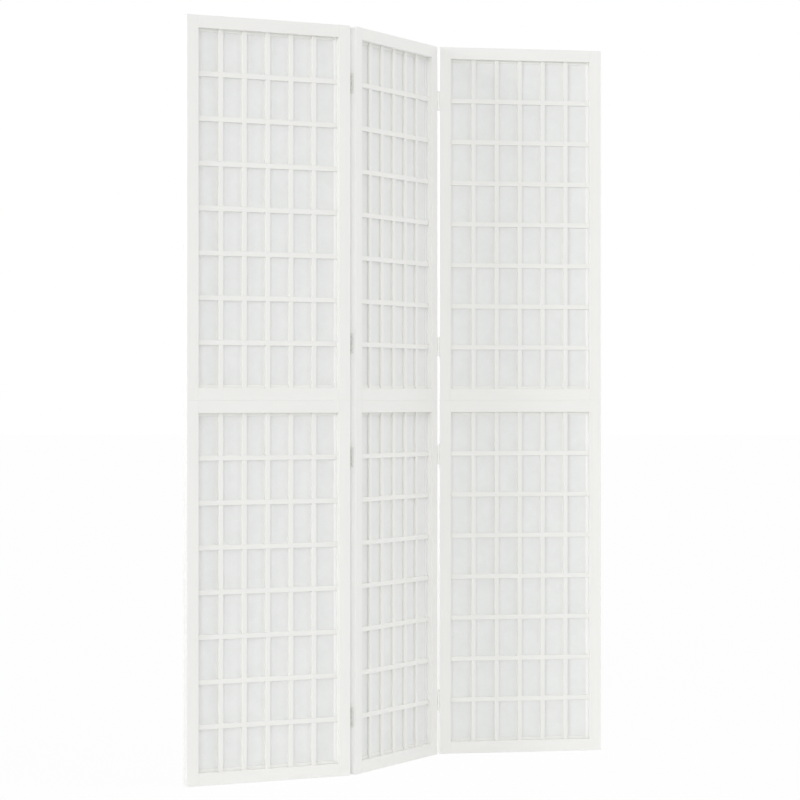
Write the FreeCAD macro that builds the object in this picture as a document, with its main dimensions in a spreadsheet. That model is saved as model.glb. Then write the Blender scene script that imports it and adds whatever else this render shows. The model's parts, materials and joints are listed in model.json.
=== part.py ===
import FreeCAD, Part
import os
import re
import Sketcher
from FreeCAD import Placement, Rotation, Vector

# Three-panel folding screen: each panel is an upper and a lower half frame with a lapped lattice and paper.
# Panel frame: X runs across the panel from its left end, Y from its front face to the back, Z up.
# Part frame: the middle panel stands along X, its front faces -Y, and the origin is under its middle.

SIZES = {
    # Frame members
    "panel_width": 400,
    "panel_height": 1700,
    "frame_thickness": 20,
    "stile_width": 27.5,
    "rail_width": 28,
    "frame_round": 0.6,
    "tenon_length": 13,
    "tenon_thickness": 7,
    "tenon_shoulder": 4,
    "mortise_end_gap": 0.5,
    # Lattice and paper
    "columns": 6,
    "rows": 8,
    "lattice_recess": 9.5,
    "lattice_depth": 6,
    "bar_width": 11,
    "bar_chamfer": 0.5,
    "border_width": 6.5,
    "border_depth": 2,
    "paper_thickness": 0.3,
    "paper_margin": 1,
    # Dowels that join the two halves
    "dowel_diameter": 7,
    "dowel_length": 60,
    "dowel_inset": 7.5,
    "dowel_clearance": 0.1,
    # Hinges
    "hinge_length": 46,
    "hinge_offset": 129.5,
    "leaf_width": 15,
    "leaf_thickness": 1.2,
    "knuckle_diameter": 5.5,
    "knuckle_gap": 0.3,
    "pin_diameter": 2.8,
    "pin_clearance": 0.05,
    "pin_head_diameter": 4.4,
    "pin_head_thickness": 0.8,
    "axis_setback": 3.2,
    "axis_standoff": 1,
    # Hinge screws
    "screw_diameter": 3,
    "screw_length": 14,
    "screw_tip": 4,
    "screw_pitch": 15,
    "screw_setback": 8.5,
    "screw_clearance": 0.05,
    "slot_width": 0.7,
    "slot_length": 2.8,
    "slot_depth": 0.8,
    # Folds of the photographed stance, in degrees off a straight screen
    "left_fold": 34.4,
    "right_fold": 51,
    # How far a cut runs past the surface it opens
    "overrun": 1,
}

# Derived sizes, as formulas of the sheet
HALF_HEIGHT = "(panel_height / 2)"
OPENING_WIDTH = "(panel_width - 2 * stile_width)"
OPENING_HEIGHT = f"({HALF_HEIGHT} - 2 * rail_width)"
PANE_WIDTH = f"(({OPENING_WIDTH} - 2 * border_width - (columns - 1) * bar_width) / columns)"
PANE_HEIGHT = f"(({OPENING_HEIGHT} - 2 * border_width - (rows - 1) * bar_width) / rows)"
MORTISE_DEPTH = "(tenon_length + mortise_end_gap)"
TENON_HEIGHT = "(rail_width - 2 * tenon_shoulder)"
TENON_START = "((frame_thickness - tenon_thickness) / 2)"
LAP_DEPTH = "(lattice_depth / 2)"
BORDER_FRONT = "(lattice_depth - border_depth)"
LATTICE_WIDTH = f"({OPENING_WIDTH} - 2 * border_width)"
LATTICE_HEIGHT = f"({OPENING_HEIGHT} - 2 * border_width)"
DOWEL_HOLE_DEPTH = "(dowel_length / 2 + mortise_end_gap)"
KNUCKLE_HEIGHT = "(hinge_length / 3)"
BORE_RADIUS = "(pin_diameter / 2 + pin_clearance)"
SCREW_HEAD_RADIUS = "(screw_diameter / 2 + leaf_thickness)"

PANELS = ("left", "middle", "right")
HALVES = ("lower", "upper")
SCREW_STEPS = (-1, 0, 1)
AT_ORIGIN = ("0", "0", "0")

# Which end of each panel carries hinges, and whether their knuckles stand at the front or the back
HINGED_ENDS = {
    ("left", "right"): "back",
    ("middle", "left"): "back",
    ("middle", "right"): "front",
    ("right", "left"): "front",
}

doc = FreeCAD.newDocument("folding_screen")
sheet = doc.addObject("Spreadsheet::Sheet", "Sizes")
for row, (alias, number) in enumerate(SIZES.items(), start=1):
    sheet.set(f"A{row}", alias)
    sheet.set(f"B{row}", str(number))
    sheet.setAlias(f"B{row}", alias)
doc.recompute()

nodes = []


def formula(text):
    """Points every alias in a formula at the sheet."""
    return re.sub(r"[a-z_]{4,}", lambda word: f"Sizes.{word.group()}", str(text))


def value(text):
    """The number that a formula of the sheet gives."""
    return float(sheet.evalExpression(formula(text)))


def bind(thing, **formulas):
    """Binds properties to formulas, with a double underscore for a dot in the property's path."""
    for path, text in formulas.items():
        thing.setExpression(path.replace("__", "."), formula(text))


def place(thing, x="0", y="0", z="0"):
    bind(thing, Placement__Base__x=x, Placement__Base__y=y, Placement__Base__z=z)


def panel_placement(panel):
    """Where a panel's own frame stands: the outer panels turn about the axes of their hinges."""
    width = value("panel_width")
    depth = value("frame_thickness")
    setback = value("axis_setback")
    standoff = value("axis_standoff")
    if panel == "middle":
        return Placement(Vector(-width / 2, -depth / 2, 0), Rotation())
    if panel == "left":
        axis = Vector(-width / 2 - setback, depth / 2 + standoff, 0)
        axis_in_panel = Vector(width + setback, depth + standoff, 0)
        turn = Rotation(Vector(0, 0, 1), -value("left_fold"))
    else:
        axis = Vector(width / 2 + setback, -depth / 2 - standoff, 0)
        axis_in_panel = Vector(-setback, -standoff, 0)
        turn = Rotation(Vector(0, 0, 1), -value("right_fold"))
    return Placement(axis - turn.multVec(axis_in_panel), turn)


def half_start(half):
    return "0" if half == "lower" else HALF_HEIGHT


def finish(thing, label, panel, x="0", y="0", z="0"):
    """Labels a sub-part and puts its origin at x, y, z of its panel's frame."""
    thing.Label = label
    seat = Placement(Vector(value(x), value(y), value(z)), Rotation())
    thing.Placement = panel_placement(panel).multiply(seat)
    nodes.append(thing)


def new_body(label):
    body = doc.addObject("PartDesign::Body", f"{label}_body")
    body.AllowCompound = True
    return body


def origin_feature(body, role):
    return next(feature for feature in body.Origin.OriginFeatures if feature.Role == role)


def new_sketch(body, name, plane, offset):
    sketch = body.newObject("Sketcher::SketchObject", name)
    sketch.AttachmentSupport = [(origin_feature(body, plane), "")]
    sketch.MapMode = "FlatFace"
    x, y, z = offset
    bind(sketch, AttachmentOffset__Base__x=x, AttachmentOffset__Base__y=y, AttachmentOffset__Base__z=z)
    return sketch


def pin_point(sketch, geometry, vertex, point):
    """Holds one vertex at a point given as two formulas from the sketch's origin."""
    for axis, kind, text in ((-2, "DistanceX", point[0]), (-1, "DistanceY", point[1])):
        if text == "0":
            sketch.addConstraint(Sketcher.Constraint("PointOnObject", geometry, vertex, axis))
            continue
        number = sketch.addConstraint(Sketcher.Constraint(kind, -1, 1, geometry, vertex, value(text)))
        sketch.setExpression(f"Constraints[{number}]", formula(text))


def polygon(body, name, plane, offset, points):
    """A closed outline whose corners are formulas."""
    sketch = new_sketch(body, name, plane, offset)
    corners = [Vector(value(x), value(y), 0) for x, y in points]
    count = len(corners)
    for index in range(count):
        sketch.addGeometry(Part.LineSegment(corners[index], corners[(index + 1) % count]), False)
    for index in range(count):
        following = (index + 1) % count
        sketch.addConstraint(Sketcher.Constraint("Coincident", index, 2, following, 1))
        pin_point(sketch, index, 1, points[index])
    return sketch


def rectangle(body, name, plane, offset, width, height):
    return polygon(body, name, plane, offset, (("0", "0"), (width, "0"), (width, height), ("0", height)))


def circles(body, name, plane, offset, centres, radius):
    sketch = new_sketch(body, name, plane, offset)
    for x, y in centres:
        centre = Vector(value(x), value(y), 0)
        circle = sketch.addGeometry(Part.Circle(centre, Vector(0, 0, 1), value(radius)), False)
        pin_point(sketch, circle, 3, (x, y))
        number = sketch.addConstraint(Sketcher.Constraint("Radius", circle, value(radius)))
        sketch.setExpression(f"Constraints[{number}]", formula(radius))
    return sketch


def pad(body, sketch, length):
    feature = body.newObject("PartDesign::Pad", f"{sketch.Name}_pad")
    feature.Profile = sketch
    bind(feature, Length=length)
    return feature


def pocket(body, sketch, length, along_normal=True):
    """Cuts along the sketch's normal, or against it, and checks that the cut removes material."""
    doc.recompute([body])
    before = body.Shape.Volume
    feature = body.newObject("PartDesign::Pocket", f"{sketch.Name}_pocket")
    feature.Profile = sketch
    feature.Reversed = along_normal
    bind(feature, Length=length)
    doc.recompute([body])
    if not body.Shape.Volume < before:
        raise RuntimeError(f"{feature.Name} cuts nothing")
    return feature


def pattern(body, feature, axis, count, step):
    """Repeats a feature in a row along one of the body's axes."""
    row = body.newObject("PartDesign::LinearPattern", f"{feature.Name}_row")
    row.Originals = [feature]
    row.Direction = (origin_feature(body, axis), [""])
    bind(row, Occurrences=count, Length=f"({count} - 1) * {step}")
    body.Tip = row
    return row


def round_edges(body, base):
    """Rounds every edge of a feature."""
    doc.recompute([body])
    names = [f"Edge{number}" for number in range(1, len(base.Shape.Edges) + 1)]
    feature = body.newObject("PartDesign::Fillet", f"{base.Name}_round")
    feature.Base = (base, names)
    bind(feature, Radius="frame_round")
    return feature


def stile(panel, half, side):
    """An upright of a half frame, mortised for the rails and drilled for its dowel and hinge screws."""
    label = f"{panel}_{half}_{side}_stile"
    body = new_body(label)
    outline = rectangle(body, f"{label}_outline", "XY_Plane", AT_ORIGIN, "stile_width", "frame_thickness")
    round_edges(body, pad(body, outline, HALF_HEIGHT))
    mortise_x = f"stile_width - {MORTISE_DEPTH}" if side == "left" else "-overrun"
    for end, start in (("bottom", "tenon_shoulder"), ("top", f"{HALF_HEIGHT} - rail_width + tenon_shoulder")):
        offset = (mortise_x, TENON_START, start)
        width = f"{MORTISE_DEPTH} + overrun"
        mouth = rectangle(body, f"{label}_{end}_mortise", "XY_Plane", offset, width, "tenon_thickness")
        pocket(body, mouth, TENON_HEIGHT)
    dowel_x = "dowel_inset" if side == "left" else "stile_width - dowel_inset"
    hole_z = f"{HALF_HEIGHT} - {DOWEL_HOLE_DEPTH}" if half == "lower" else "-overrun"
    radius = "dowel_diameter / 2 + dowel_clearance"
    hole = circles(body, f"{label}_dowel_hole", "XY_Plane", ("0", "0", hole_z),
                   [(dowel_x, "frame_thickness / 2")], radius)
    pocket(body, hole, f"{DOWEL_HOLE_DEPTH} + overrun")
    if (panel, side) in HINGED_ENDS:
        drill_screw_holes(body, label, side, HINGED_ENDS[panel, side])
    x = "0" if side == "left" else "panel_width - stile_width"
    finish(body, label, panel, x=x, z=half_start(half))


def screw_row_y(knuckle_face):
    """Depth of the hinge screws behind the panel's front face."""
    inset = "screw_setback - axis_standoff"
    return inset if knuckle_face == "front" else f"frame_thickness - ({inset})"


def drill_screw_holes(body, label, side, knuckle_face):
    """Pilot holes for both hinges of a half, drilled in from the end face of the panel."""
    centres = []
    for hinge in ("hinge_offset", f"{HALF_HEIGHT} - hinge_offset"):
        for step in SCREW_STEPS:
            centres.append((screw_row_y(knuckle_face), f"{hinge} + {step} * screw_pitch"))
    inward = side == "left"
    start = "-overrun" if inward else "stile_width + overrun"
    radius = "screw_diameter / 2 + screw_clearance"
    holes = circles(body, f"{label}_screw_holes", "YZ_Plane", ("0", "0", start), centres, radius)
    pocket(body, holes, "screw_length + mortise_end_gap + overrun", along_normal=inward)


def rail(panel, half, end):
    """A cross member between the stiles, with a stub tenon at each end."""
    label = f"{panel}_{half}_{end}_rail"
    body = new_body(label)
    outline = rectangle(body, f"{label}_outline", "XY_Plane", AT_ORIGIN, OPENING_WIDTH, "frame_thickness")
    round_edges(body, pad(body, outline, "rail_width"))
    offset = ("-tenon_length", TENON_START, "tenon_shoulder")
    tenons = rectangle(body, f"{label}_tenons", "XY_Plane", offset,
                       f"{OPENING_WIDTH} + 2 * tenon_length", "tenon_thickness")
    pad(body, tenons, TENON_HEIGHT)
    start = half_start(half)
    if end == "top":
        start = f"{start} + {HALF_HEIGHT} - rail_width"
    finish(body, label, panel, x="stile_width", z=start)


def bar_outline(body, name, plane, offset, width, front, width_first):
    """The section of a lattice bar from its front to the back: a rectangle with its two front edges chamfered."""
    shoulder = f"{front} + bar_chamfer"
    across = ("bar_chamfer", f"{width} - bar_chamfer", width, width, "0", "0")
    deep = (front, front, shoulder, "lattice_depth", "lattice_depth", shoulder)
    points = zip(across, deep) if width_first else zip(deep, across)
    return polygon(body, name, plane, offset, tuple(points))


def lattice_places(pane, opening):
    """The start, width and front of the first border, the first bar and the last border of a lattice."""
    return (
        ("first_border", "0", "border_width", BORDER_FRONT),
        ("bar", f"border_width + {pane}", "bar_width", "0"),
        ("last_border", f"{opening} - border_width", "border_width", BORDER_FRONT),
    )


def lattice_uprights():
    """The upright bars and side borders; the bars are halved at the front for the cross bars, and lap the end
    borders with their backs."""
    body = new_body("uprights")
    for name, start, width, front in lattice_places(PANE_WIDTH, OPENING_WIDTH):
        outline = bar_outline(body, f"upright_{name}", "XY_Plane", (start, "0", "0"), width, front, True)
        feature = pad(body, outline, OPENING_HEIGHT)
        if name == "bar":
            pattern(body, feature, "X_Axis", "(columns - 1)", f"({PANE_WIDTH} + bar_width)")
    for name, start, height, front in lattice_places(PANE_HEIGHT, OPENING_HEIGHT):
        if name == "bar":
            depth_start, depth = "-overrun", f"{LAP_DEPTH} + overrun"
        else:
            depth_start, depth = front, "border_depth + overrun"
        lap = rectangle(body, f"upright_{name}_lap", "XY_Plane", ("border_width", depth_start, start),
                        LATTICE_WIDTH, depth)
        feature = pocket(body, lap, height)
        if name == "bar":
            pattern(body, feature, "Z_Axis", "(rows - 1)", f"({PANE_HEIGHT} + bar_width)")
    return body


def lattice_crossbars():
    """The cross bars and end borders; the bars are halved at the back for the uprights, and lap the side borders
    with their backs."""
    body = new_body("crossbars")
    for name, start, height, front in lattice_places(PANE_HEIGHT, OPENING_HEIGHT):
        left, length = ("0", OPENING_WIDTH) if name == "bar" else ("border_width", LATTICE_WIDTH)
        outline = bar_outline(body, f"crossbar_{name}", "YZ_Plane", ("0", start, left), height, front, False)
        feature = pad(body, outline, length)
        if name == "bar":
            pattern(body, feature, "Z_Axis", "(rows - 1)", f"({PANE_HEIGHT} + bar_width)")
    for name, start, width, front in lattice_places(PANE_WIDTH, OPENING_WIDTH):
        if name == "bar":
            depth_start, depth = LAP_DEPTH, f"{LAP_DEPTH} + overrun"
        else:
            depth_start, depth = front, "border_depth + overrun"
        lap = rectangle(body, f"crossbar_{name}_lap", "XY_Plane", (start, depth_start, "border_width"), width, depth)
        feature = pocket(body, lap, LATTICE_HEIGHT)
        if name == "bar":
            pattern(body, feature, "X_Axis", "(columns - 1)", f"({PANE_WIDTH} + bar_width)")
    return body


def lattice(panel, half, kind, source):
    """One half frame's set of uprights or cross bars, a copy of the set made once."""
    label = f"{panel}_{half}_lattice_{kind}"
    copies = [linked(source, f"{label}_set", Vector(), Rotation())]
    finish(group(f"{label}_group", copies), label, panel, x="stile_width", y="lattice_recess",
           z=f"{half_start(half)} + rail_width")


def paper(panel, half):
    """The sheet glued to the back of the lattice."""
    label = f"{panel}_{half}_paper"
    body = new_body(label)
    outline = rectangle(body, f"{label}_outline", "XY_Plane", AT_ORIGIN,
                        f"{OPENING_WIDTH} - 2 * paper_margin", "paper_thickness")
    pad(body, outline, f"{OPENING_HEIGHT} - 2 * paper_margin")
    finish(body, label, panel, x="stile_width + paper_margin", y="lattice_recess + lattice_depth",
           z=f"{half_start(half)} + rail_width + paper_margin")


def box(name, length, width, height, x="0", y="0", z="0"):
    thing = doc.addObject("Part::Box", name)
    bind(thing, Length=length, Width=width, Height=height)
    place(thing, x, y, z)
    return thing


def cylinder(name, radius, height, z="0"):
    thing = doc.addObject("Part::Cylinder", name)
    bind(thing, Radius=radius, Height=height)
    place(thing, z=z)
    return thing


def cone(name, lower_radius, upper_radius, height, z="0"):
    thing = doc.addObject("Part::Cone", name)
    bind(thing, Radius1=lower_radius, Radius2=upper_radius, Height=height)
    place(thing, z=z)
    return thing


def fuse(name, shapes):
    thing = doc.addObject("Part::MultiFuse", name)
    thing.Shapes = shapes
    return thing


def cut(name, base, tool):
    thing = doc.addObject("Part::Cut", name)
    thing.Base = base
    thing.Tool = tool
    return thing


def linked(source, name, position, rotation):
    """One placed copy of a piece."""
    link = doc.addObject("App::Link", name)
    link.LinkedObject = source
    link.Placement = Placement(position, rotation)
    return link


def copies_at(source, name, frames):
    return [linked(source, f"{name}_{n}", frame.Base, frame.Rotation) for n, frame in enumerate(frames)]


def group(name, copies):
    thing = doc.addObject("Part::Compound", name)
    thing.Links = copies
    return thing


def knuckle_zones(own_middle):
    """Knuckle thirds of a hinge from the bottom, as (start, belongs to this leaf)."""
    return [(f"{step} * {KNUCKLE_HEIGHT} - hinge_length / 2", (step == 1) == own_middle) for step in range(3)]


def hinge_leaf(name, panel_ahead, own_middle):
    """A leaf about its knuckle axis: the panel's end face stands ahead of the axis or behind it, along X."""
    plate_x = "axis_setback - leaf_thickness" if panel_ahead else "-axis_setback"
    plate_z = "-hinge_length / 2"
    solids = [box(f"{name}_plate", "leaf_thickness", "leaf_width", "hinge_length", plate_x, "0", plate_z)]
    reliefs = []
    for step, (start, owned) in enumerate(knuckle_zones(own_middle)):
        if owned:
            solids.append(cylinder(f"{name}_knuckle_{step}", "knuckle_diameter / 2",
                                   f"{KNUCKLE_HEIGHT} - knuckle_gap", f"{start} + knuckle_gap / 2"))
        else:
            reliefs.append(box(f"{name}_relief_{step}", "leaf_thickness + 2 * overrun",
                               "knuckle_diameter / 2 + knuckle_gap + overrun",
                               f"{KNUCKLE_HEIGHT} + knuckle_gap",
                               f"{plate_x} - overrun", "-overrun", f"{start} - knuckle_gap / 2"))
    bore = cylinder(f"{name}_bore", BORE_RADIUS, "hinge_length + 2 * overrun", "-hinge_length / 2 - overrun")
    sinks = []
    for step in SCREW_STEPS:
        hole = screw_blank(f"{name}_sink_{step + 1}", "screw_clearance", "leaf_thickness + overrun")
        sinks.append(linked(hole, f"{name}_sink_place_{step + 1}", *screw_seat(panel_ahead, step)))
    blank = fuse(f"{name}_blank", solids)
    return cut(name, blank, fuse(f"{name}_cuts", reliefs + [bore] + sinks))


def screw_blank(name, clearance, shank_length):
    """A countersunk screw's outside, head up at Z zero, with a clearance all round."""
    head = cone(f"{name}_head", f"screw_diameter / 2 + {clearance}", f"{SCREW_HEAD_RADIUS} + {clearance}",
                "leaf_thickness", "-leaf_thickness")
    shank = cylinder(f"{name}_shank", f"screw_diameter / 2 + {clearance}", shank_length, f"-({shank_length})")
    return fuse(name, [head, shank])


def screw_seat(panel_ahead, step):
    """Place of a screw on a leaf: its head lies flush with the leaf's open face."""
    open_face = value("axis_setback - leaf_thickness")
    x = open_face if panel_ahead else -open_face
    position = Vector(x, value("screw_setback"), step * value("screw_pitch"))
    head_up = Vector(-1, 0, 0) if panel_ahead else Vector(1, 0, 0)
    return position, Rotation(Vector(0, 0, 1), head_up)


def wood_screw():
    """A countersunk screw with a cross recess, head up at Z zero."""
    straight = "(screw_length + leaf_thickness - screw_tip)"
    body = screw_blank("screw_body", "0", straight)
    tip = cone("screw_tip_cone", "0", "screw_diameter / 2", "screw_tip", f"-{straight} - screw_tip")
    slots = [
        box("slot_across", "slot_length", "slot_width", "slot_depth + overrun",
            "-slot_length / 2", "-slot_width / 2", "-slot_depth"),
        box("slot_along", "slot_width", "slot_length", "slot_depth + overrun",
            "-slot_width / 2", "-slot_length / 2", "-slot_depth"),
    ]
    return cut("wood_screw", fuse("screw_blank", [body, tip]), fuse("screw_slots", slots))


def hinge_pin():
    """The pin of one hinge, with a flat head at each end."""
    half = "hinge_length / 2"
    shaft = cylinder("pin_shaft", "pin_diameter / 2", "hinge_length", f"-{half}")
    top = cylinder("pin_top_head", "pin_head_diameter / 2", "pin_head_thickness", half)
    bottom = cylinder("pin_bottom_head", "pin_head_diameter / 2", "pin_head_thickness",
                      f"-{half} - pin_head_thickness")
    return fuse("hinge_pin", [shaft, top, bottom])


def hinge_frames(side, knuckle_face):
    """Places of a panel end's four hinges, each on its knuckle axis, in the panel's frame."""
    x = "-axis_setback" if side == "left" else "panel_width + axis_setback"
    y = "-axis_standoff" if knuckle_face == "front" else "frame_thickness + axis_standoff"
    turn = Rotation(Vector(0, 0, 1), 0 if knuckle_face == "front" else 180)
    heights = []
    for half in HALVES:
        start = half_start(half)
        heights += [f"{start} + hinge_offset", f"{start} + {HALF_HEIGHT} - hinge_offset"]
    return [Placement(Vector(value(x), value(y), value(height)), turn) for height in heights]


def hinge_nodes():
    """Leaves, pins and screws of both folds, each kind in one group per panel end or panel."""
    pin = hinge_pin()
    screw = wood_screw()
    leaves = {}
    for way, ahead in (("ahead", True), ("behind", False)):
        for knuckles, own_middle in (("one_knuckle", True), ("two_knuckles", False)):
            leaves[ahead, own_middle] = hinge_leaf(f"leaf_{way}_{knuckles}", ahead, own_middle)
    screws = {panel: [] for panel in PANELS}
    for (panel, side), face in HINGED_ENDS.items():
        fold = "left_fold" if face == "back" else "right_fold"
        frames = hinge_frames(side, face)
        # A knuckle at the back turns the hinge half round, so the panel ahead and behind change places
        ahead = (side == "left") == (face == "front")
        source = leaves[ahead, panel != "middle"]
        label = f"{fold}_{panel}_leaves"
        finish(group(f"{label}_group", copies_at(source, label, frames)), label, panel)
        if panel == "middle":
            label = f"{fold}_pins"
            finish(group(f"{label}_group", copies_at(pin, label, frames)), label, panel)
        for step in SCREW_STEPS:
            seats = [frame.multiply(Placement(*screw_seat(ahead, step))) for frame in frames]
            screws[panel] += copies_at(screw, f"{panel}_{side}_screw_{step + 1}", seats)
    for panel, copies in screws.items():
        label = f"{panel}_hinge_screws"
        finish(group(f"{label}_group", copies), label, panel)


def dowels(panel, dowel):
    """The two hidden dowels that keep a panel's halves in line."""
    label = f"{panel}_joining_dowels"
    copies = []
    for side, x in (("left", "dowel_inset"), ("right", "panel_width - dowel_inset")):
        centre = Vector(value(x), value("frame_thickness / 2"), value(f"{HALF_HEIGHT} - dowel_length / 2"))
        copies.append(linked(dowel, f"{label}_{side}", centre, Rotation()))
    finish(group(f"{label}_group", copies), label, panel)


def check_and_export():
    """Stops on any failed object or unsound shape, then writes one file per sub-part."""
    doc.recompute()
    for thing in doc.Objects:
        if {"Invalid", "Error"} & set(thing.State):
            raise RuntimeError(f"{thing.Name} failed: {thing.State}")
    for node in nodes:
        if node.Shape.isNull() or not node.Shape.isValid() or not node.Shape.Solids:
            raise RuntimeError(f"{node.Label} has no sound solid")
    os.makedirs("parts", exist_ok=True)
    for node in nodes:
        node.Shape.exportStep(f"parts/{node.Label}.step")
        print(f"{node.Label}: {len(node.Shape.Solids)} solids, {node.Shape.Volume:.1f} mm3")


lattice_sets = {"uprights": lattice_uprights(), "crossbars": lattice_crossbars()}
for panel in PANELS:
    for half in HALVES:
        for side in ("left", "right"):
            stile(panel, half, side)
        for end in ("bottom", "top"):
            rail(panel, half, end)
        for kind, source in lattice_sets.items():
            lattice(panel, half, kind, source)
        paper(panel, half)
dowel = cylinder("dowel", "dowel_diameter / 2", "dowel_length")
for panel in PANELS:
    dowels(panel, dowel)
hinge_nodes()
check_and_export()
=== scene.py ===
"""Dresses a three-panel folding screen: painted frames and lattices, stretched papers, plated hinges."""
import json
import math
import random

import bmesh
import bpy
from mathutils import Matrix, Vector


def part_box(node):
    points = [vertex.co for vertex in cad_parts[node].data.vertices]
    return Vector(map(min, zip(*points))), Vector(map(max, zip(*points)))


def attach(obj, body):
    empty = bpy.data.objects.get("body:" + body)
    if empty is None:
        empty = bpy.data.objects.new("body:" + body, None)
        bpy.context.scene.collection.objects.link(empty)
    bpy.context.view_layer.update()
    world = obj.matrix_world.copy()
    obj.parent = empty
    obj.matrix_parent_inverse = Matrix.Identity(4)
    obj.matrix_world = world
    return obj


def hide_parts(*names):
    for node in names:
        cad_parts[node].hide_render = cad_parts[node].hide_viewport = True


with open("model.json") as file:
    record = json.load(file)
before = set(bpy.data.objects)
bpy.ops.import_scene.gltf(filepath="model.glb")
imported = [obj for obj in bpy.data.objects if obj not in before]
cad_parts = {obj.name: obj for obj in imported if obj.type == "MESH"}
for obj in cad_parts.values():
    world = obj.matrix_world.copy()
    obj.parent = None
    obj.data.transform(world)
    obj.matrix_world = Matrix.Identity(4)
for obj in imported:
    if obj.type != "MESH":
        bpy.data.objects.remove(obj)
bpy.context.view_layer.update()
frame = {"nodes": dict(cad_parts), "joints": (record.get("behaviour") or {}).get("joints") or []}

bl_info = {
    "name": "Folding Screen",
    "version": (1, 0, 0),
    "blender": (4, 5, 0),
    "location": "3D View > Sidebar > Screen",
    "description": "Finishes a folding screen of three latticed panels and sets it on a pale studio floor",
    "category": "Object",
}

NODES = frame["nodes"]
JOINTS = {joint["name"]: joint for joint in frame["joints"]}
PANELS = ("left", "middle", "right")
HALVES = ("lower", "upper")

PANEL_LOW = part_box("middle_lower_left_stile")[0]
PANEL_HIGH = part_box("middle_upper_right_stile")[1]
PANEL_WIDTH = PANEL_HIGH.x - PANEL_LOW.x
HALF_HEIGHT = PANEL_HIGH.z / 2
STILE_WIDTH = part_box("middle_lower_left_stile")[1].x - PANEL_LOW.x
PAPER_LOW, PAPER_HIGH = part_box("middle_lower_paper")
LATTICE_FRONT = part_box("middle_lower_lattice_uprights")[0].y - PANEL_LOW.y

GRAIN_ALONG_X = Matrix.Rotation(math.radians(-90), 4, "Y")
FAR_FROM_FOLDS = {"left": 0.0, "middle": PANEL_WIDTH / 2, "right": PANEL_WIDTH}
FACE_SKIN = 0.0002
PAINT_EDGE_REACH = 0.0011
STEEL_EDGE_REACH = 0.0005
EDGE_WEAR_SHARE = 0.18
RECESS_SHADE_SHARE = 0.6
SHOULDER_LINE_WIDTH = 0.0005
LEAF_ROUGHNESS = 0.44
SCREW_ROUGHNESS = 0.36
PAPER_STEPS = (8, 12)
PAPER_FIBRES = ((42, (1, 1, 0.55), 0.010), (75, (0.6, 1, 1), 0.014), (130, (1, 1, 0.8), 0.020))
FLOOR_RADIUS = 60
FLOOR_DROP = 0.0005
FLOOR_GLOW_SHARE = 0.95
CAMERA_REACH = 200

# Each lamp's setting, its bearing from the front towards the left, its height and its spread, in degrees.
LAMPS = (("front", -10, 48, 36), ("top", 0, 88, 30), ("right", -40, 12, 36), ("left", 75, 12, 30),
         ("side", 109, 8, 14), ("back", 150, 6, 14), ("rear", 205, 6, 20))


def panel_place(panel):
    """Where a panel's own frame stands at rest: X across from its left end, Y from its front, Z up."""
    square = Matrix.Translation((PANEL_LOW.x, PANEL_LOW.y, 0))
    if panel == "middle":
        return square
    joint = JOINTS[panel + "_fold"]
    pin = Vector((joint["pos_m"][0], joint["pos_m"][1], 0))
    fold = Matrix.Rotation(-math.radians(joint["range_deg"][1]), 4, "Z")
    beside = Matrix.Translation((2 * pin.x, 0, 0))
    return Matrix.Translation(pin) @ fold @ Matrix.Translation(-pin) @ beside @ square


class ScreenSizes(bpy.types.PropertyGroup):
    """Sizes of the papers behind the lattices."""

    paper_width: bpy.props.FloatProperty(
        name="Paper Width", description="Cut width of one sheet", subtype="DISTANCE", unit="LENGTH",
        default=PAPER_HIGH.x - PAPER_LOW.x, min=0.05, precision=4)
    paper_length: bpy.props.FloatProperty(
        name="Paper Length", description="Cut length of one sheet", subtype="DISTANCE", unit="LENGTH",
        default=PAPER_HIGH.z - PAPER_LOW.z, min=0.05, precision=4)
    paper_thickness: bpy.props.FloatProperty(
        name="Paper Thickness", description="Thickness of the sheet", subtype="DISTANCE", unit="LENGTH",
        default=PAPER_HIGH.y - PAPER_LOW.y, min=0.00005, precision=5)
    paper_slack: bpy.props.FloatProperty(
        name="Paper Slack", description="How far the sheet bows backwards between two bars", subtype="DISTANCE",
        unit="LENGTH", default=0.0006, min=0.0, precision=5)
    columns: bpy.props.IntProperty(
        name="Columns", description="Panes across a panel", default=6, min=1)
    rows: bpy.props.IntProperty(
        name="Rows", description="Panes up one half of a panel", default=8, min=1)
    bar_width: bpy.props.FloatProperty(
        name="Bar Width", description="Face width of a lattice bar", subtype="DISTANCE", unit="LENGTH",
        default=0.011, min=0.001, precision=4)
    border_width: bpy.props.FloatProperty(
        name="Border Width", description="Face width of the lattice's outer strips", subtype="DISTANCE",
        unit="LENGTH", default=0.0065, min=0.001, precision=4)
    rail_width: bpy.props.FloatProperty(
        name="Rail Width", description="Face width of a rail", subtype="DISTANCE", unit="LENGTH",
        default=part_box("middle_lower_bottom_rail")[1].z, min=0.005, precision=4)


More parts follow.
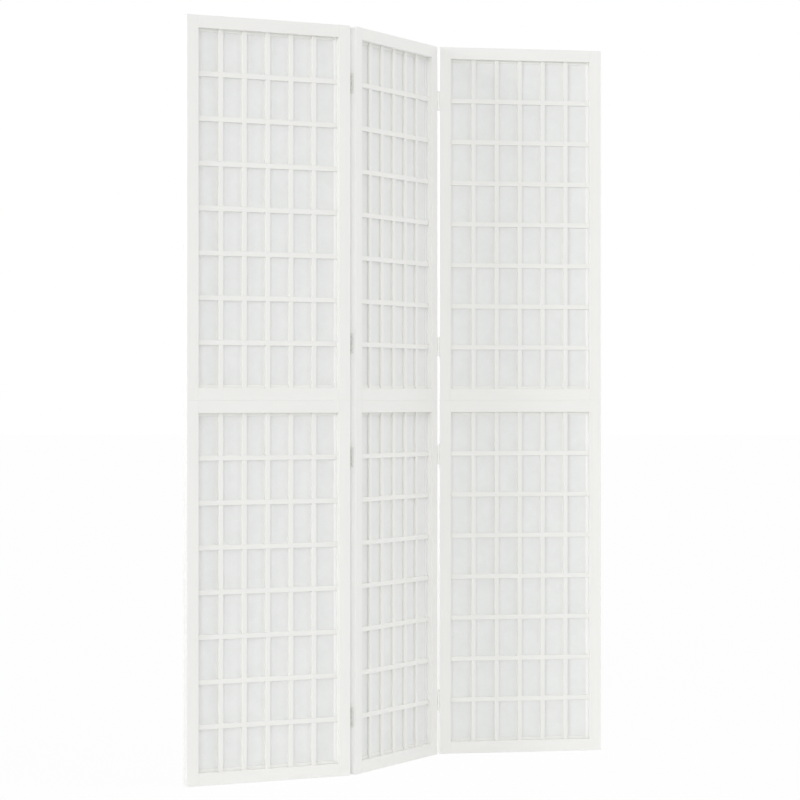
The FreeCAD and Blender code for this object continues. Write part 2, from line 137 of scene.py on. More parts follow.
class ScreenFinishes(bpy.types.PropertyGroup):
    """Colours and textures of the woods, the papers and the metal."""

    paint: bpy.props.FloatVectorProperty(
        name="Paint", description="Colour of the satin paint", subtype="COLOR", size=3,
        default=(0.895, 0.893, 0.872), min=0.0, max=1.0)
    # Also the colour that the lattice faces behind the front darken towards, as painted shade in the recess.
    undercoat_and_shade: bpy.props.FloatVectorProperty(
        name="Undercoat", description="Colour where the paint is thin along an edge", subtype="COLOR", size=3,
        default=(0.81, 0.79, 0.74), min=0.0, max=1.0)
    paint_gloss: bpy.props.FloatProperty(
        name="Paint Roughness", description="Roughness of the satin paint", subtype="FACTOR",
        default=0.46, min=0.0, max=1.0)
    paper: bpy.props.FloatVectorProperty(
        name="Paper", description="Colour of the paper", subtype="COLOR", size=3,
        default=(0.862, 0.874, 0.865), min=0.0, max=1.0)
    # Paler than the paint: a painted highlight on the lattice's outer strips beside the stiles.
    strip: bpy.props.FloatVectorProperty(
        name="Side Strips", description="Colour of the lattice's outer strips beside the stiles", subtype="COLOR",
        size=3, default=(0.930, 0.931, 0.922), min=0.0, max=1.0)
    # Paler than the paint: painted light on the end faces inside the folds, lifting their shade.
    fold_end_light: bpy.props.FloatVectorProperty(
        name="Sheltered Paint", description="Colour of the paint on the end faces inside the folds", subtype="COLOR",
        size=3, default=(0.935, 0.935, 0.925), min=0.0, max=1.0)
    fibre: bpy.props.FloatVectorProperty(
        name="Fibre", description="Colour of the long fibres in the paper", subtype="COLOR", size=3,
        default=(0.91, 0.92, 0.91), min=0.0, max=1.0)
    steel: bpy.props.FloatVectorProperty(
        name="Hinge Steel", description="Colour of the plated steel", subtype="COLOR", size=3,
        default=(0.86, 0.86, 0.84), min=0.0, max=1.0)
    screw: bpy.props.FloatVectorProperty(
        name="Screw Steel", description="Colour of the screws and pins", subtype="COLOR", size=3,
        default=(0.80, 0.80, 0.78), min=0.0, max=1.0)
    beech: bpy.props.FloatVectorProperty(
        name="Dowel Beech", description="Colour of the bare dowels", subtype="COLOR", size=3,
        default=(0.62, 0.46, 0.29), min=0.0, max=1.0)


class ScreenStage(bpy.types.PropertyGroup):
    """The camera, the lamps and the floor."""

    eye: bpy.props.FloatVectorProperty(
        name="Camera Place", description="Where the camera stands", subtype="TRANSLATION", unit="LENGTH", size=3,
        default=(-5.5067, -2.9777, 0.850))
    heading: bpy.props.FloatProperty(
        name="Camera Heading", description="Clockwise turn of the level camera from +Y", subtype="ANGLE",
        unit="ROTATION", default=math.radians(61.722))
    lens: bpy.props.FloatProperty(
        name="Lens", description="Focal length on a 36 mm frame", unit="CAMERA", default=120.43, min=10.0)
    rise: bpy.props.FloatProperty(
        name="Lens Rise", description="Upward shift of the frame, as a share of its width", default=0.00056,
        precision=5)
    sky: bpy.props.FloatProperty(
        name="Room Light", description="Strength of the even light from all round", default=0.50, min=0.0)
    front: bpy.props.FloatProperty(
        name="Front Lamp", description="Strength of the lamp above the front", default=0.38, min=0.0)
    top: bpy.props.FloatProperty(
        name="Top Lamp", description="Strength of the lamp overhead", default=0.25, min=0.0)
    right: bpy.props.FloatProperty(
        name="Right Lamp", description="Strength of the low lamp at the front right", default=0.50, min=0.0)
    left: bpy.props.FloatProperty(
        name="Left Lamp", description="Strength of the low lamp at the left", default=0.68, min=0.0)
    side: bpy.props.FloatProperty(
        name="Side Lamp", description="Strength of the low lamp that grazes the left panel", default=0.50, min=0.0)
    back: bpy.props.FloatProperty(
        name="Back Lamp", description="Strength of the low lamp behind the left panel", default=0.20, min=0.0)
    rear: bpy.props.FloatProperty(
        name="Rear Lamp", description="Strength of the low lamp that shines into the right fold from behind",
        default=0.8, min=0.0)
    floor: bpy.props.FloatVectorProperty(
        name="Floor", description="Colour of the floor", subtype="COLOR", size=3,
        default=(0.97, 0.97, 0.97), min=0.0, max=1.0)


def new_group(name, inputs, outputs):
    """An empty node group with named sockets; returns the tree and its two end nodes."""
    tree = bpy.data.node_groups.new(name, "ShaderNodeTree")
    kinds = {"vector": "NodeSocketVector", "value": "NodeSocketFloat", "colour": "NodeSocketColor"}
    for label, kind, start in inputs:
        socket = tree.interface.new_socket(name=label, in_out="INPUT", socket_type=kinds[kind])
        if start is not None:
            socket.default_value = start
    for label, kind in outputs:
        tree.interface.new_socket(name=label, in_out="OUTPUT", socket_type=kinds[kind])
    return tree, tree.nodes.new("NodeGroupInput"), tree.nodes.new("NodeGroupOutput")


def math_node(tree, operation, first, second=None, third=None, clamp=False):
    """A Math node fed by sockets or numbers; returns its output."""
    node = tree.nodes.new("ShaderNodeMath")
    node.operation = operation
    node.use_clamp = clamp
    for socket, value in zip(node.inputs, (first, second, third)):
        if value is None:
            continue
        if isinstance(value, (int, float)):
            socket.default_value = value
        else:
            tree.links.new(value, socket)
    return node.outputs[0]


def noise_node(tree, vector, scale, detail=2.0, roughness=0.5, stretch=(1, 1, 1), seed=None, distortion=0.0):
    """A noise of its own stretch and seed; returns its value."""
    stretched = tree.nodes.new("ShaderNodeMapping")
    stretched.inputs["Scale"].default_value = stretch
    tree.links.new(vector, stretched.inputs["Vector"])
    noise = tree.nodes.new("ShaderNodeTexNoise")
    noise.noise_dimensions = "4D"
    noise.inputs["Scale"].default_value = scale
    noise.inputs["Detail"].default_value = detail
    noise.inputs["Roughness"].default_value = roughness
    noise.inputs["Distortion"].default_value = distortion
    tree.links.new(stretched.outputs["Vector"], noise.inputs["Vector"])
    if seed is not None:
        tree.links.new(seed, noise.inputs["W"])
    return noise.outputs["Fac"]


def ramp_node(tree, value, low, high, out_low=0.0, out_high=1.0):
    """A smooth step from low to high; returns its value."""
    node = tree.nodes.new("ShaderNodeMapRange")
    node.interpolation_type = "SMOOTHSTEP"
    for label, number in (("From Min", low), ("From Max", high), ("To Min", out_low), ("To Max", out_high)):
        node.inputs[label].default_value = number
    tree.links.new(value, node.inputs["Value"])
    return node.outputs["Result"]


def mix_colour(tree, factor, first, second):
    """Mixes two colours, sockets or constants, by a factor; returns the colour."""
    node = tree.nodes.new("ShaderNodeMix")
    node.data_type = "RGBA"
    tree.links.new(factor, node.inputs["Factor"])
    for label, value in (("A", first), ("B", second)):
        socket = next(s for s in node.inputs if s.name == label and s.type == "RGBA")
        if isinstance(value, bpy.types.NodeSocket):
            tree.links.new(value, socket)
        else:
            socket.default_value = (*value, 1.0)
    return next(s for s in node.outputs if s.type == "RGBA")


def paint_film_group():
    """Wood grain telegraphing through sprayed paint; the grain runs along Z of the vector."""
    tree, start, end = new_group(
        "paint_film", [("Vector", "vector", None), ("Seed", "value", 0.0)],
        [("Tone", "value"), ("Gloss", "value"), ("Height", "value")])
    vector, seed = start.outputs["Vector"], start.outputs["Seed"]
    grain = noise_node(tree, vector, 260, 5, 0.55, (1, 1, 0.03), seed, 0.6)
    pores = ramp_node(tree, noise_node(tree, vector, 900, 2, 0.5, (1, 1, 0.02), seed), 0.58, 0.72)
    peel = noise_node(tree, vector, 1300, 1, 0.5, (1, 1, 1), seed)
    mottle = noise_node(tree, vector, 11, 3, 0.6, (1, 1, 0.35), seed)
    tone = math_node(tree, "ADD", math_node(tree, "MULTIPLY", grain, 0.4), math_node(tree, "MULTIPLY", mottle, 0.6))
    tree.links.new(tone, end.inputs["Tone"])
    gloss = math_node(tree, "ADD", math_node(tree, "MULTIPLY", peel, 0.35), math_node(tree, "MULTIPLY", mottle, 0.65))
    tree.links.new(gloss, end.inputs["Gloss"])
    height = math_node(tree, "ADD", math_node(tree, "MULTIPLY", grain, 0.6), math_node(tree, "MULTIPLY", peel, 0.4))
    tree.links.new(math_node(tree, "SUBTRACT", height, math_node(tree, "MULTIPLY", pores, 0.25)), end.inputs["Height"])
    return tree


def edge_wear_group():
    """Where an edge is near: a broken line of thin finish along every sharp edge."""
    tree, start, end = new_group(
        "edge_wear", [("Vector", "vector", None), ("Seed", "value", 0.0), ("Reach", "value", 0.001)],
        [("Wear", "value")])
    rounded = tree.nodes.new("ShaderNodeBevel")
    rounded.samples = 4
    tree.links.new(start.outputs["Reach"], rounded.inputs["Radius"])
    surface = tree.nodes.new("ShaderNodeNewGeometry")
    turn = tree.nodes.new("ShaderNodeVectorMath")
    turn.operation = "DOT_PRODUCT"
    tree.links.new(rounded.outputs["Normal"], turn.inputs[0])
    tree.links.new(surface.outputs["Normal"], turn.inputs[1])
    edge = ramp_node(tree, turn.outputs["Value"], 0.99, 0.86)
    broken = ramp_node(tree, noise_node(tree, start.outputs["Vector"], 70, 4, 0.6, (1, 1, 0.6), start.outputs["Seed"]),
                       0.42, 0.66)
    tree.links.new(math_node(tree, "MULTIPLY", edge, broken), end.inputs["Wear"])
    return tree


def joint_line_group():
    """The hairline in the paint where a rail's shoulder meets its stile; Z of the vector runs along the rail."""
    tree, start, end = new_group(
        "joint_line", [("Vector", "vector", None), ("First", "value", 0.0), ("Last", "value", 1.0),
                       ("Width", "value", 0.0003)],
        [("Line", "value")])
    parts = tree.nodes.new("ShaderNodeSeparateXYZ")
    tree.links.new(start.outputs["Vector"], parts.inputs["Vector"])
    gaps = [math_node(tree, "ABSOLUTE", math_node(tree, "SUBTRACT", parts.outputs["Z"], start.outputs[label]))
            for label in ("First", "Last")]
    share = math_node(tree, "DIVIDE", math_node(tree, "MINIMUM", *gaps), start.outputs["Width"])
    tree.links.new(ramp_node(tree, share, 1.0, 0.4), end.inputs["Line"])
    return tree


def side_strips_group():
    """Marks what lies further from the middle than the reach, and how far a face lies behind the front, for painted
    shade in the recess; X across, Y back.
    """
    tree, start, end = new_group(
        "side_strips", [("Vector", "vector", None), ("Middle", "value", 0.2), ("Reach", "value", 0.16),
                        ("Front", "value", 0.01)],
        [("Strip", "value"), ("Thin", "value")])
    parts = tree.nodes.new("ShaderNodeSeparateXYZ")
    tree.links.new(start.outputs["Vector"], parts.inputs["Vector"])
    off = math_node(tree, "ABSOLUTE", math_node(tree, "SUBTRACT", parts.outputs["X"], start.outputs["Middle"]))
    beyond = math_node(tree, "SUBTRACT", start.outputs["Reach"], FACE_SKIN)
    tree.links.new(math_node(tree, "GREATER_THAN", off, beyond), end.inputs["Strip"])
    # Depth behind the front, ramped up as the mask of a painted shade.
    depth = math_node(tree, "SUBTRACT", parts.outputs["Y"], start.outputs["Front"])
    tree.links.new(ramp_node(tree, depth, 0.0004, 0.003), end.inputs["Thin"])
    return tree


def paper_web_group():
    """The web of a long-fibred paper: thin fibres, short specks and a cloudy body."""
    tree, start, end = new_group(
        "paper_web", [("Vector", "vector", None), ("Seed", "value", 0.0)],
        [("Fibre", "value"), ("Cloud", "value"), ("Height", "value")])
    vector, seed = start.outputs["Vector"], start.outputs["Seed"]
    strands = None
    for scale, stretch, width in PAPER_FIBRES:
        field = noise_node(tree, vector, scale, 1.5, 0.4, stretch, seed, 0.8)
        off = math_node(tree, "ABSOLUTE", math_node(tree, "SUBTRACT", field, 0.5))
        line = ramp_node(tree, off, width, 0.0)
        strands = line if strands is None else math_node(tree, "MAXIMUM", strands, line)
    patchy = ramp_node(tree, noise_node(tree, vector, 55, 2, 0.5, (1, 1, 1), seed), 0.35, 0.65)
    fibre = math_node(tree, "MULTIPLY", strands, patchy)
    cloud = noise_node(tree, vector, 26, 5, 0.62, (1, 1, 1), seed)
    tooth = noise_node(tree, vector, 1500, 2, 0.6, (1, 1, 1), seed)
    tree.links.new(fibre, end.inputs["Fibre"])
    tree.links.new(cloud, end.inputs["Cloud"])
    height = math_node(tree, "ADD", math_node(tree, "MULTIPLY", fibre, 0.6), math_node(tree, "MULTIPLY", tooth, 0.4))
    tree.links.new(height, end.inputs["Height"])
    return tree


def bar_shadow_group():
    """Painted shadow of the bars behind the paper: a faint darker grid of the given pitch where the bars lie."""
    tree, start, end = new_group(
        "bar_print",
        [("Vector", "vector", None), ("Middle", "value", 0.0), ("Column Pitch", "value", 0.05),
         ("First Row", "value", 0.0), ("Row Pitch", "value", 0.1), ("Half Height", "value", 0.85),
         ("Bar Width", "value", 0.01)],
        [("Print", "value")])
    parts = tree.nodes.new("ShaderNodeSeparateXYZ")
    tree.links.new(start.outputs["Vector"], parts.inputs["Vector"])
    across = math_node(tree, "SUBTRACT", parts.outputs["X"], start.outputs["Middle"])
    up = math_node(tree, "SUBTRACT", math_node(tree, "MODULO", parts.outputs["Z"], start.outputs["Half Height"]),
                   start.outputs["First Row"])
    gaps = []
    for place, pitch in ((across, "Column Pitch"), (up, "Row Pitch")):
        half = math_node(tree, "MULTIPLY", start.outputs[pitch], 0.5)
        gaps.append(math_node(tree, "PINGPONG", place, half))
    share = math_node(tree, "DIVIDE", math_node(tree, "MINIMUM", *gaps), start.outputs["Bar Width"])
    tree.links.new(ramp_node(tree, share, 0.56, 0.44), end.inputs["Print"])
    return tree


def rolled_metal_group():
    """Rolled and plated steel: fine lines along Z, a cloudy plating and small pits."""
    tree, start, end = new_group(
        "rolled_metal", [("Vector", "vector", None), ("Seed", "value", 0.0)],
        [("Tone", "value"), ("Rough", "value"), ("Height", "value")])
    vector, seed = start.outputs["Vector"], start.outputs["Seed"]
    lines = noise_node(tree, vector, 2600, 3, 0.6, (1, 1, 0.02), seed)
    cloud = noise_node(tree, vector, 320, 4, 0.6, (1, 1, 0.7), seed)
    pits = ramp_node(tree, noise_node(tree, vector, 1700, 1, 0.5, (1, 1, 1), seed), 0.66, 0.78)
    tone = math_node(tree, "SUBTRACT", math_node(tree, "ADD", math_node(tree, "MULTIPLY", lines, 0.35),
                                                 math_node(tree, "MULTIPLY", cloud, 0.65)),
                     math_node(tree, "MULTIPLY", pits, 0.3), clamp=True)
    tree.links.new(tone, end.inputs["Tone"])
    tree.links.new(math_node(tree, "ADD", math_node(tree, "MULTIPLY", lines, 0.5),
                             math_node(tree, "MULTIPLY", cloud, 0.5)), end.inputs["Rough"])
    tree.links.new(math_node(tree, "SUBTRACT", lines, pits), end.inputs["Height"])
    return tree


GROUP_MAKERS = {
    "paint_film": paint_film_group, "edge_wear": edge_wear_group, "joint_line": joint_line_group,
    "side_strips": side_strips_group, "paper_web": paper_web_group, "bar_print": bar_shadow_group,
    "rolled_metal": rolled_metal_group,
}


def place_group(tree, name, vector, **values):
    """Places a shared group in a material, fed by the vector, with its own values."""
    node = tree.nodes.new("ShaderNodeGroup")
    node.node_tree = bpy.data.node_groups.get(name) or GROUP_MAKERS[name]()
    tree.links.new(vector, node.inputs["Vector"])
    for label, value in values.items():
        node.inputs[label.replace("_", " ").title()].default_value = value
    return node


def new_material(name, turn=Matrix.Identity(4)):
    """A material with a Principled shader; returns it, its tree, its shader and the turned object coordinates."""
    material = bpy.data.materials.new(name)
    material.use_nodes = True
    tree = material.node_tree
    shader = tree.nodes["Principled BSDF"]
    place = tree.nodes.new("ShaderNodeTexCoord")
    turned = tree.nodes.new("ShaderNodeMapping")
    turned.inputs["Location"].default_value = turn.to_translation()
    turned.inputs["Rotation"].default_value = turn.to_euler()
    tree.links.new(place.outputs["Object"], turned.inputs["Vector"])
    return material, tree, shader, turned.outputs["Vector"]


def add_bump(tree, shader, height, strength, distance):
    """Feeds a height into the shader's normal."""
    bump = tree.nodes.new("ShaderNodeBump")
    bump.inputs["Strength"].default_value = strength
    bump.inputs["Distance"].default_value = distance
    tree.links.new(height, bump.inputs["Height"])
    tree.links.new(bump.outputs["Normal"], shader.inputs["Normal"])


def painted_wood(name, panel, finishes, seed, along=False, shoulders=False, strips=None, ends=False):
    """Satin paint over wood, with its grain up or along the panel.

    Shoulders draws the lines where rails meet stiles. Given strips, the lattice's side strips of that width get a
    paler colour as a painted highlight and the faces behind the lattice's front darken as painted shade; ends paints
    the end faces inside the folds paler, as painted light in their shade.
    """
    turn = panel_place(panel).inverted()
    if along:
        turn = GRAIN_ALONG_X @ turn
    material, tree, shader, vector = new_material(name, turn)
    film = place_group(tree, "paint_film", vector, seed=seed)
    wear = place_group(tree, "edge_wear", vector, seed=seed, reach=PAINT_EDGE_REACH)
    paint = Vector(finishes.paint)
    colour = mix_colour(tree, ramp_node(tree, film.outputs["Tone"], 0.3, 0.7), paint * 0.985, paint * 1.012)
    if strips:
        beside = place_group(tree, "side_strips", vector, middle=PANEL_WIDTH / 2,
                             reach=PANEL_WIDTH / 2 - STILE_WIDTH - strips, front=LATTICE_FRONT)
        # Painted shade: the lattice faces behind the front darken with depth; the side strips get a paler colour as a
        # painted highlight.
        thin = math_node(tree, "MULTIPLY", beside.outputs["Thin"], RECESS_SHADE_SHARE)
        colour = mix_colour(tree, thin, colour, finishes.undercoat_and_shade)
        colour = mix_colour(tree, beside.outputs["Strip"], colour, finishes.strip)
    if ends:
        # Painted light: the end faces inside the folds get a paler paint that lifts their shade.
        far = FAR_FROM_FOLDS[panel]
        fold = place_group(tree, "side_strips", vector, middle=far, reach=max(far, PANEL_WIDTH - far) - FACE_SKIN)
        colour = mix_colour(tree, fold.outputs["Strip"], colour, finishes.fold_end_light)
    worn = math_node(tree, "MULTIPLY", wear.outputs["Wear"], EDGE_WEAR_SHARE)
    colour = mix_colour(tree, worn, colour, finishes.undercoat_and_shade)
    height = film.outputs["Height"]
    if shoulders:
        line = place_group(tree, "joint_line", vector, first=STILE_WIDTH, last=PANEL_WIDTH - STILE_WIDTH,
                           width=SHOULDER_LINE_WIDTH)
        colour = mix_colour(tree, math_node(tree, "MULTIPLY", line.outputs["Line"], 0.12), colour, paint * 0.82)
        height = math_node(tree, "SUBTRACT", height, math_node(tree, "MULTIPLY", line.outputs["Line"], 0.2))
    tree.links.new(colour, shader.inputs["Base Color"])
    rough = ramp_node(tree, film.outputs["Gloss"], 0.3, 0.7, finishes.paint_gloss - 0.06, finishes.paint_gloss + 0.06)
    tree.links.new(math_node(tree, "ADD", rough, math_node(tree, "MULTIPLY", worn, 0.3), clamp=True),
                   shader.inputs["Roughness"])
    shader.inputs["Specular IOR Level"].default_value = 0.3
    add_bump(tree, shader, height, 0.25, 0.00012)
    return material


def fibrous_paper(name, panel, finishes, sizes, seed):
    """Long-fibred translucent paper, with a painted shadow of the bars behind it as a darker grid."""
    material, tree, shader, vector = new_material(name, panel_place(panel).inverted())
    web = place_group(tree, "paper_web", vector, seed=seed)
    paper = Vector(finishes.paper)
    colour = mix_colour(tree, ramp_node(tree, web.outputs["Cloud"], 0.3, 0.7), paper * 0.98, paper * 1.015)
    colour = mix_colour(tree, math_node(tree, "MULTIPLY", web.outputs["Fibre"], 0.55), colour, finishes.fibre)
    inner = PANEL_WIDTH - 2 * STILE_WIDTH - 2 * sizes.border_width + sizes.bar_width
    tall = HALF_HEIGHT - 2 * sizes.rail_width - 2 * sizes.border_width + sizes.bar_width
    row_pitch = tall / sizes.rows
    # Painted shadow: the sheet darkens where the bars lie against it.
    bar_shadow_mask = place_group(
        tree, "bar_print", vector, middle=PANEL_WIDTH / 2, column_pitch=inner / sizes.columns,
        first_row=sizes.rail_width + sizes.border_width - sizes.bar_width / 2 + row_pitch, row_pitch=row_pitch,
        half_height=HALF_HEIGHT, bar_width=sizes.bar_width)
    colour = mix_colour(tree, math_node(tree, "MULTIPLY", bar_shadow_mask.outputs["Print"], 0.5), colour, paper * 0.86)
    tree.links.new(colour, shader.inputs["Base Color"])
    tree.links.new(ramp_node(tree, web.outputs["Fibre"], 0.0, 1.0, 0.86, 0.68), shader.inputs["Roughness"])
    shader.inputs["Specular IOR Level"].default_value = 0.18
    add_bump(tree, shader, web.outputs["Height"], 0.3, 0.00012)
    return material


def plated_steel(name, colour, seed, roughness):
    """Zinc-plated steel with fine rolling lines and worn bright edges."""
    material, tree, shader, vector = new_material(name)
    metal = place_group(tree, "rolled_metal", vector, seed=seed)
    wear = place_group(tree, "edge_wear", vector, seed=seed, reach=STEEL_EDGE_REACH)
    base = Vector(colour)
    tint = mix_colour(tree, ramp_node(tree, metal.outputs["Tone"], 0.3, 0.7), base * 0.90, base * 1.06)
    tint = mix_colour(tree, math_node(tree, "MULTIPLY", wear.outputs["Wear"], 0.6), tint, base * 1.16)
    tree.links.new(tint, shader.inputs["Base Color"])
    shader.inputs["Metallic"].default_value = 0.3
    tree.links.new(ramp_node(tree, metal.outputs["Rough"], 0.25, 0.75, roughness - 0.08, roughness + 0.12),
                   shader.inputs["Roughness"])
    add_bump(tree, shader, metal.outputs["Height"], 0.2, 0.00004)
    return material


def bare_beech(name, finishes):
    """Turned beech with its short flecks."""
    material, tree, shader, vector = new_material(name)
    grain = noise_node(tree, vector, 420, 4, 0.6, (1, 1, 0.05))
    flecks = ramp_node(tree, noise_node(tree, vector, 900, 1, 0.5, (1, 1, 0.16)), 0.6, 0.72)
    beech = Vector(finishes.beech)
    colour = mix_colour(tree, ramp_node(tree, grain, 0.3, 0.7), beech * 0.8, beech * 1.15)
    colour = mix_colour(tree, math_node(tree, "MULTIPLY", flecks, 0.5), colour, beech * 0.55)
    tree.links.new(colour, shader.inputs["Base Color"])
    tree.links.new(ramp_node(tree, grain, 0.2, 0.8, 0.62, 0.78), shader.inputs["Roughness"])
    add_bump(tree, shader, grain, 0.3, 0.0001)
    return material


def coat(node_name, material):
    """Gives a CAD node its finish."""
    node = NODES[node_name]
    if not node.material_slots:
        node.data.materials.append(material)
    for slot in node.material_slots:
        slot.material = material


def paper_sheet(name, panel, half, sizes, seed):
    """One sheet stretched behind a lattice, bowed a little backwards in every pane."""
    shape = bmesh.new()
    across, up = sizes.columns * PAPER_STEPS[0], sizes.rows * PAPER_STEPS[1]
    bmesh.ops.create_grid(shape, x_segments=across, y_segments=up, size=0.5)
    bmesh.ops.scale(shape, vec=(sizes.paper_width, sizes.paper_length, 1), verts=shape.verts)
    bmesh.ops.rotate(shape, matrix=Matrix.Rotation(math.radians(90), 3, "X"), verts=shape.verts)
    base = HALF_HEIGHT * HALVES.index(half)
    middle = Vector((PANEL_WIDTH / 2, PAPER_LOW.y - PANEL_LOW.y, base + HALF_HEIGHT / 2))
    bmesh.ops.translate(shape, vec=middle, verts=shape.verts)

    draw = random.Random(seed)
    bows = [[sizes.paper_slack * draw.uniform(0.35, 1.0) for _ in range(sizes.columns)] for _ in range(sizes.rows)]
    left = STILE_WIDTH + sizes.border_width
    low = base + sizes.rail_width + sizes.border_width
    wide = PANEL_WIDTH - 2 * left + sizes.bar_width
    tall = HALF_HEIGHT - 2 * (sizes.rail_width + sizes.border_width) + sizes.bar_width
    pitch_x, pitch_z = wide / sizes.columns, tall / sizes.rows
    pane_x, pane_z = pitch_x - sizes.bar_width, pitch_z - sizes.bar_width
    for vert in shape.verts:
        column, inside_x = divmod(vert.co.x - left, pitch_x)
        row, inside_z = divmod(vert.co.z - low, pitch_z)
        if not (0 <= column < sizes.columns and 0 <= row < sizes.rows):
            continue
        if inside_x >= pane_x or inside_z >= pane_z:
            continue
        swell = math.sin(math.pi * inside_x / pane_x) * math.sin(math.pi * inside_z / pane_z)
        vert.co.y += bows[int(row)][int(column)] * swell ** 0.8

    bmesh.ops.recalc_face_normals(shape, faces=shape.faces)
    if sum(face.normal.y for face in shape.faces) > 0:
        bmesh.ops.reverse_faces(shape, faces=shape.faces)
    bmesh.ops.solidify(shape, geom=shape.faces[:], thickness=sizes.paper_thickness)
    bmesh.ops.recalc_face_normals(shape, faces=shape.faces)
    bmesh.ops.transform(shape, matrix=panel_place(panel), verts=shape.verts)
    for face in shape.faces:
        face.smooth = True
    mesh = bpy.data.meshes.new(name)
    shape.to_mesh(mesh)
    shape.free()
    sheet = bpy.data.objects.new(name, mesh)
    bpy.context.scene.collection.objects.link(sheet)
    return sheet


class SCREEN_OT_paint_frames(bpy.types.Operator):
    """Paint the stiles and rails of the six half frames"""

    bl_idname = "folding_screen.paint_frames"
    bl_label = "Paint Frames"

    def execute(self, context):
        finishes = context.scene.screen_finishes
        for number, panel in enumerate(PANELS):
            for step, half in enumerate(HALVES):
                seed = 10 * number + 5 * step
                stiles = painted_wood(f"stile_paint_{panel}_{half}", panel, finishes, seed + 0.3, ends=True)
                rails = painted_wood(f"rail_paint_{panel}_{half}", panel, finishes, seed + 1.6, True, True)
                for side in ("left", "right"):
                    coat(f"{panel}_{half}_{side}_stile", stiles)
                for end in ("bottom", "top"):
                    coat(f"{panel}_{half}_{end}_rail", rails)
        return {"FINISHED"}


class SCREEN_OT_paint_lattices(bpy.types.Operator):
    """Paint the upright and cross bars of the six lattices"""

    bl_idname = "folding_screen.paint_lattices"
    bl_label = "Paint Lattices"

    def execute(self, context):
        sizes, finishes = context.scene.screen_sizes, context.scene.screen_finishes
        for number, panel in enumerate(PANELS):
            seed = 10 * number + 3.7
            uprights = painted_wood(f"upright_paint_{panel}", panel, finishes, seed, strips=sizes.border_width)
            crossbars = painted_wood(f"crossbar_paint_{panel}", panel, finishes, seed + 0.9, True)
            for half in HALVES:
                coat(f"{panel}_{half}_lattice_uprights", uprights)
                coat(f"{panel}_{half}_lattice_crossbars", crossbars)
        return {"FINISHED"}


class SCREEN_OT_stretch_papers(bpy.types.Operator):
    """Stretch a fibrous paper behind each of the six lattices"""

    bl_idname = "folding_screen.stretch_papers"
    bl_label = "Stretch Papers"

    def execute(self, context):
        sizes, finishes = context.scene.screen_sizes, context.scene.screen_finishes
        for number, panel in enumerate(PANELS):
            finish = fibrous_paper(f"paper_{panel}", panel, finishes, sizes, 4.0 + 7 * number)
            for step, half in enumerate(HALVES):
                sheet = paper_sheet(f"{panel}_{half}_stretched_paper", panel, half, sizes, 31 + 2 * number + step)
                sheet.data.materials.append(finish)
                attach(sheet, f"{panel}_panel")
                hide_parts(f"{panel}_{half}_paper")
        return {"FINISHED"}


class SCREEN_OT_plate_hinges(bpy.types.Operator):
    """Plate the hinge leaves, pins and screws"""

    bl_idname = "folding_screen.plate_hinges"
    bl_label = "Plate Hinges"

    def execute(self, context):
        finishes = context.scene.screen_finishes
        leaves = plated_steel("leaf_steel", finishes.steel, 2.0, LEAF_ROUGHNESS)
        pins = plated_steel("pin_steel", finishes.screw, 5.0, SCREW_ROUGHNESS)
        screws = plated_steel("screw_steel", finishes.screw, 8.0, SCREW_ROUGHNESS)
        for node in NODES:
            if node.endswith("_leaves"):
                coat(node, leaves)
            elif node.endswith("_pins"):
                coat(node, pins)
            elif node.endswith("_screws"):
                coat(node, screws)
        return {"FINISHED"}


class SCREEN_OT_turn_dowels(bpy.types.Operator):
    """Finish the hidden dowels between the half frames"""

    bl_idname = "folding_screen.turn_dowels"
    bl_label = "Finish Dowels"

    def execute(self, context):
        beech = bare_beech("dowel_beech", context.scene.screen_finishes)
        for panel in PANELS:
            coat(f"{panel}_joining_dowels", beech)
        return {"FINISHED"}


def soft_lamp(name, bearing, height, strength, spread):
    """A distant lamp: its bearing from the front towards the left, height above the floor and spread in degrees."""
    lamp = bpy.data.lights.new(name, "SUN")
    lamp.energy = strength
    lamp.angle = math.radians(spread)
    stand = bpy.data.objects.new(name, lamp)
    stand.rotation_euler = (math.radians(90 - height), 0, -math.radians(bearing))
    bpy.context.scene.collection.objects.link(stand)


def seen_directly(tree):
    """One for what the camera, a reflection or a clear pane sees directly, nought for scattered light."""
    path = tree.nodes.new("ShaderNodeLightPath")
    seen = math_node(tree, "MAXIMUM", path.outputs["Is Camera Ray"], path.outputs["Is Glossy Ray"])
    return math_node(tree, "MAXIMUM", seen, path.outputs["Is Transmission Ray"])


def place_camera(scene, stage):
    """A level camera at the eye, turned to the heading."""
    lens = bpy.data.cameras.new("screen_camera")
    lens.lens = stage.lens
    lens.clip_end = CAMERA_REACH
    lens.shift_y = stage.rise
    camera = bpy.data.objects.new("screen_camera", lens)
    camera.location = stage.eye
    camera.rotation_euler = (math.radians(90), 0, -stage.heading)
    scene.collection.objects.link(camera)
    scene.camera = camera


def light_room(scene, stage):
    """Even light from all round, with a white backdrop where it is seen directly."""
    world = scene.world or bpy.data.worlds.new("studio")
    scene.world = world
    world.use_nodes = True
    tree = world.node_tree
    tree.nodes.clear()
    out = tree.nodes.new("ShaderNodeOutputWorld")
    room = tree.nodes.new("ShaderNodeBackground")
    room.inputs["Color"].default_value = (1, 1, 1, 1)
    room.inputs["Strength"].default_value = stage.sky
    backdrop = tree.nodes.new("ShaderNodeBackground")
    backdrop.inputs["Color"].default_value = (1, 1, 1, 1)
    backdrop.inputs["Strength"].default_value = 1.0
    both = tree.nodes.new("ShaderNodeMixShader")
    tree.links.new(seen_directly(tree), both.inputs["Fac"])
    tree.links.new(room.outputs["Background"], both.inputs[1])
    tree.links.new(backdrop.outputs["Background"], both.inputs[2])
    tree.links.new(both.outputs["Shader"], out.inputs["Surface"])


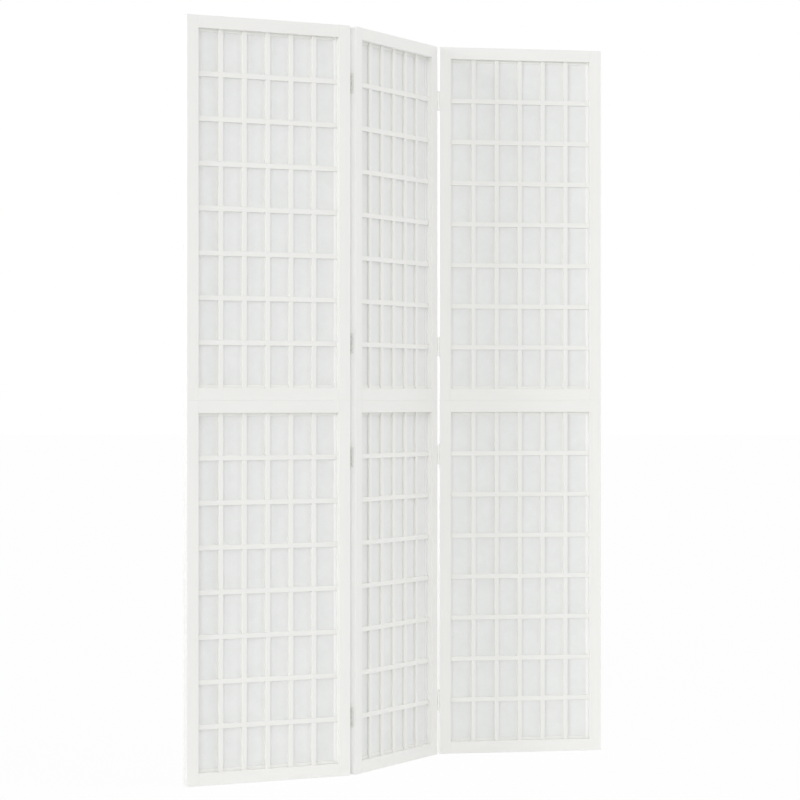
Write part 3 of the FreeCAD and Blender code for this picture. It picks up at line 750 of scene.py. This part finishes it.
def lay_floor(scene, stage):
    """A wide matt floor that mostly glows white where it is seen directly and keeps a soft shadow."""
    shape = bmesh.new()
    bmesh.ops.create_circle(shape, cap_ends=True, segments=96, radius=FLOOR_RADIUS)
    bmesh.ops.translate(shape, vec=(0, 0, -FLOOR_DROP), verts=shape.verts)
    mesh = bpy.data.meshes.new("studio_floor")
    shape.to_mesh(mesh)
    shape.free()
    floor = bpy.data.objects.new("studio_floor", mesh)
    scene.collection.objects.link(floor)

    material = bpy.data.materials.new("studio_floor")
    material.use_nodes = True
    tree = material.node_tree
    matt = tree.nodes["Principled BSDF"]
    matt.inputs["Base Color"].default_value = (*stage.floor, 1)
    matt.inputs["Roughness"].default_value = 0.9
    matt.inputs["Specular IOR Level"].default_value = 0.0
    glow = tree.nodes.new("ShaderNodeEmission")
    glow.inputs["Strength"].default_value = 1.0
    both = tree.nodes.new("ShaderNodeMixShader")
    tree.links.new(math_node(tree, "MULTIPLY", seen_directly(tree), FLOOR_GLOW_SHARE), both.inputs["Fac"])
    tree.links.new(matt.outputs["BSDF"], both.inputs[1])
    tree.links.new(glow.outputs["Emission"], both.inputs[2])
    tree.links.new(both.outputs["Shader"], tree.nodes["Material Output"].inputs["Surface"])
    mesh.materials.append(material)


class SCREEN_OT_set_stage(bpy.types.Operator):
    """Set the camera, the soft lamps and the pale floor"""

    bl_idname = "folding_screen.set_stage"
    bl_label = "Set Stage"

    def execute(self, context):
        scene, stage = context.scene, context.scene.screen_stage
        scene.view_settings.view_transform = "Standard"
        place_camera(scene, stage)
        for setting, bearing, height, spread in LAMPS:
            soft_lamp(f"{setting}_lamp", bearing, height, getattr(stage, setting), spread)
        light_room(scene, stage)
        lay_floor(scene, stage)
        return {"FINISHED"}


STEPS = (SCREEN_OT_set_stage, SCREEN_OT_paint_frames, SCREEN_OT_paint_lattices, SCREEN_OT_stretch_papers,
         SCREEN_OT_plate_hinges, SCREEN_OT_turn_dowels)


class SCREEN_PT_folding_screen(bpy.types.Panel):
    """Steps and settings of the folding screen"""

    bl_label = "Folding Screen"
    bl_space_type = "VIEW_3D"
    bl_region_type = "UI"
    bl_category = "Screen"

    def draw(self, context):
        column = self.layout.column(align=True)
        for step in STEPS:
            column.operator(step.bl_idname)
        for settings in (context.scene.screen_sizes, context.scene.screen_finishes, context.scene.screen_stage):
            box = self.layout.box()
            for label in settings.__annotations__:
                box.prop(settings, label)


CLASSES = (ScreenSizes, ScreenFinishes, ScreenStage, *STEPS, SCREEN_PT_folding_screen)


def register():
    for each in CLASSES:
        bpy.utils.register_class(each)
    bpy.types.Scene.screen_sizes = bpy.props.PointerProperty(type=ScreenSizes)
    bpy.types.Scene.screen_finishes = bpy.props.PointerProperty(type=ScreenFinishes)
    bpy.types.Scene.screen_stage = bpy.props.PointerProperty(type=ScreenStage)


def unregister():
    del bpy.types.Scene.screen_stage, bpy.types.Scene.screen_finishes, bpy.types.Scene.screen_sizes
    for each in reversed(CLASSES):
        bpy.utils.unregister_class(each)


def main():
    register()
    bpy.ops.folding_screen.set_stage()
    bpy.ops.folding_screen.paint_frames()
    bpy.ops.folding_screen.paint_lattices()
    bpy.ops.folding_screen.stretch_papers()
    bpy.ops.folding_screen.plate_hinges()
    bpy.ops.folding_screen.turn_dowels()


if __name__ == "__main__":
    main()
